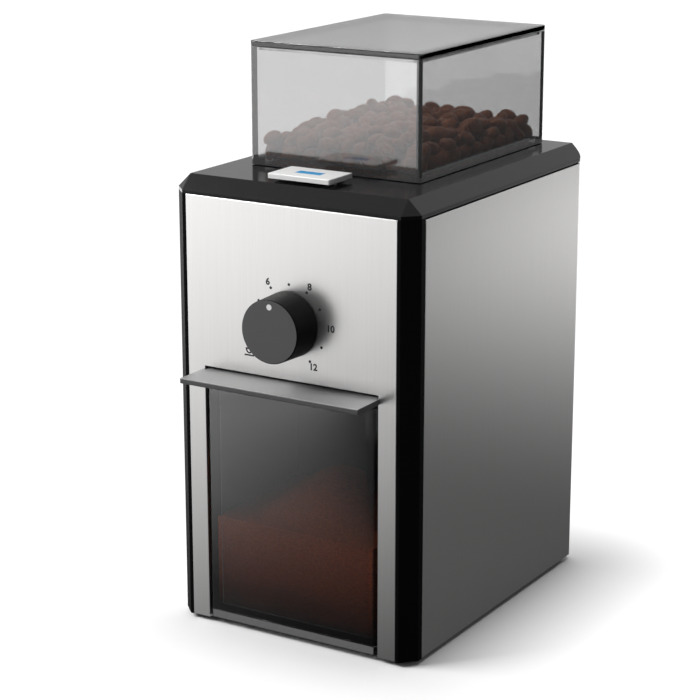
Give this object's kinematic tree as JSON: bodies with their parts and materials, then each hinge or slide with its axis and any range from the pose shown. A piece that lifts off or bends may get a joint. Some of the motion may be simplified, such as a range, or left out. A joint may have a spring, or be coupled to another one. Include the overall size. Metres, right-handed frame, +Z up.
{
  "type": "burr coffee grinder",
  "caption": "Upright burr coffee grinder with steel panels, black bevelled frame, smoked bean hopper, front dial, top start button and pull-out smoked container.",
  "frame": {"origin": "on the table plane, under the middle of the overall width and depth", "axes": "+Z up, front faces -Y, +X to the right of someone facing the front"},
  "size_m": [0.125, 0.1798, 0.26],
  "materials": {
    "black_plastic": "satin moulded",
    "gloss_black": "gloss moulded",
    "brushed_steel": "vertical brushed",
    "smoked_clear": "clear moulded, smoke tint",
    "white_plastic": "satin moulded",
    "blue_clear": "clear",
    "rubber": "moulded",
    "zinc_steel": "zinc plated",
    "tool_steel": "ground",
    "bronze": "sintered",
    "grey_plastic": "moulded",
    "white_acetal": "moulded",
    "copper": "turned",
    "carbon": "pressed",
    "ferrite": "sintered",
    "iron_core": "laminated",
    "board": "laminate"
  },
  "bodies": {
    "housing": {"main_housing": "black_plastic", "rear_cover": "black_plastic", "base_plate": "black_plastic", "inner_frame": "black_plastic", "wheel_bezel": "black_plastic", "container_switch": "black_plastic", "hopper_switch": "black_plastic", "top_frame": "gloss_black", "front_panel": "brushed_steel", "left_panel": "brushed_steel", "right_panel": "brushed_steel", "indicator_lamp": "blue_clear", "hopper_seal": "rubber", "cable_gland": "rubber", "rubber_feet": "rubber", "rubber_mounts": "rubber", "rear_screws": "zinc_steel", "base_screws": "zinc_steel", "housing_screws": "zinc_steel", "motor_screws": "zinc_steel", "wheel_pin": "zinc_steel", "button_spring": "zinc_steel", "knob_nut": "zinc_steel", "motor_can": "zinc_steel", "motor_bracket": "zinc_steel", "burr_bushes": "bronze", "motor_bushes": "bronze", "chute": "grey_plastic", "burr_housing": "grey_plastic", "motor_cap": "grey_plastic", "potentiometer": "grey_plastic", "start_switch": "grey_plastic", "carbon_brushes": "carbon", "field_magnets": "ferrite", "button_board": "board", "control_board": "board"},
    "container": {"container": "smoked_clear", "container_lid": "smoked_clear"},
    "hopper": {"hopper": "smoked_clear"},
    "hopper_lid": {"hopper_lid": "smoked_clear"},
    "start_button": {"button_cap": "white_plastic", "light_guide": "blue_clear"},
    "quantity_knob": {"quantity_knob": "black_plastic", "knob_dot": "white_plastic", "knob_spindle": "zinc_steel"},
    "fineness_wheel": {"fineness_wheel": "black_plastic"},
    "adjusting_ring": {"adjusting_ring": "white_acetal"},
    "upper_burr": {"upper_carrier": "grey_plastic", "upper_burr": "tool_steel"},
    "burr_drive": {"burr_shaft": "tool_steel", "drive_gear": "white_acetal", "burr_carrier": "grey_plastic", "lower_burr": "tool_steel", "burr_nut": "tool_steel"},
    "motor_rotor": {"motor_shaft": "tool_steel", "motor_pinion": "tool_steel", "armature": "iron_core", "commutator": "copper", "cooling_fan": "grey_plastic"}
  },
  "joints": [
    {"name": "container_slide", "type": "slide", "parent": "housing", "child": "container", "axis": [0, -1, 0], "range_m": [0, 0.1]},
    {"name": "hopper_lift", "type": "slide", "parent": "housing", "child": "hopper", "axis": [0, 0, 1], "range_m": [0, 0.06]},
    {"name": "hopper_lid_lift", "type": "slide", "parent": "hopper", "child": "hopper_lid", "axis": [0, 0, 1], "range_m": [0, 0.04]},
    {"name": "start_button_press", "type": "slide", "parent": "housing", "child": "start_button", "axis": [0, 0, -1], "range_m": [0, 0.0012], "stiffness_N_per_m": 900, "deforming": ["button_spring"]},
    {"name": "quantity_knob_turn", "type": "hinge", "parent": "housing", "child": "quantity_knob", "pos_m": [0, -0.0719, 0.146], "axis": [0, 1, 0], "range_deg": [-145, 145]},
    {"name": "fineness_turn", "type": "hinge", "parent": "housing", "child": "fineness_wheel", "pos_m": [-0.046, 0.0161, 0.1696], "axis": [0, 0, 1], "range_deg": [-100, 100]},
    {"name": "adjusting_ring_turn", "type": "hinge", "parent": "housing", "child": "adjusting_ring", "pos_m": [0, 0.0161, 0.1643], "axis": [0, 0, 1], "range_deg": [-21.5, 21.5]},
    {"name": "upper_burr_lift", "type": "slide", "parent": "housing", "child": "upper_burr", "axis": [0, 0, 1], "range_m": [-0.0004, 0.0004]},
    {"name": "burr_spin", "type": "hinge", "parent": "housing", "child": "burr_drive", "pos_m": [0, 0.0161, 0.1275], "axis": [0, 0, 1], "continuous": true},
    {"name": "motor_spin", "type": "hinge", "parent": "housing", "child": "motor_rotor", "pos_m": [0, 0.0541, 0.0515], "axis": [0, 0, 1], "continuous": true}
  ],
  "couplings": [
    {"joint": "adjusting_ring_turn", "follows": "fineness_turn", "ratio": -0.21053},
    {"joint": "upper_burr_lift", "follows": "fineness_turn", "m_per_rad": 0.0002246},
    {"joint": "motor_spin", "follows": "burr_spin", "ratio": -5.3333}
  ]
}
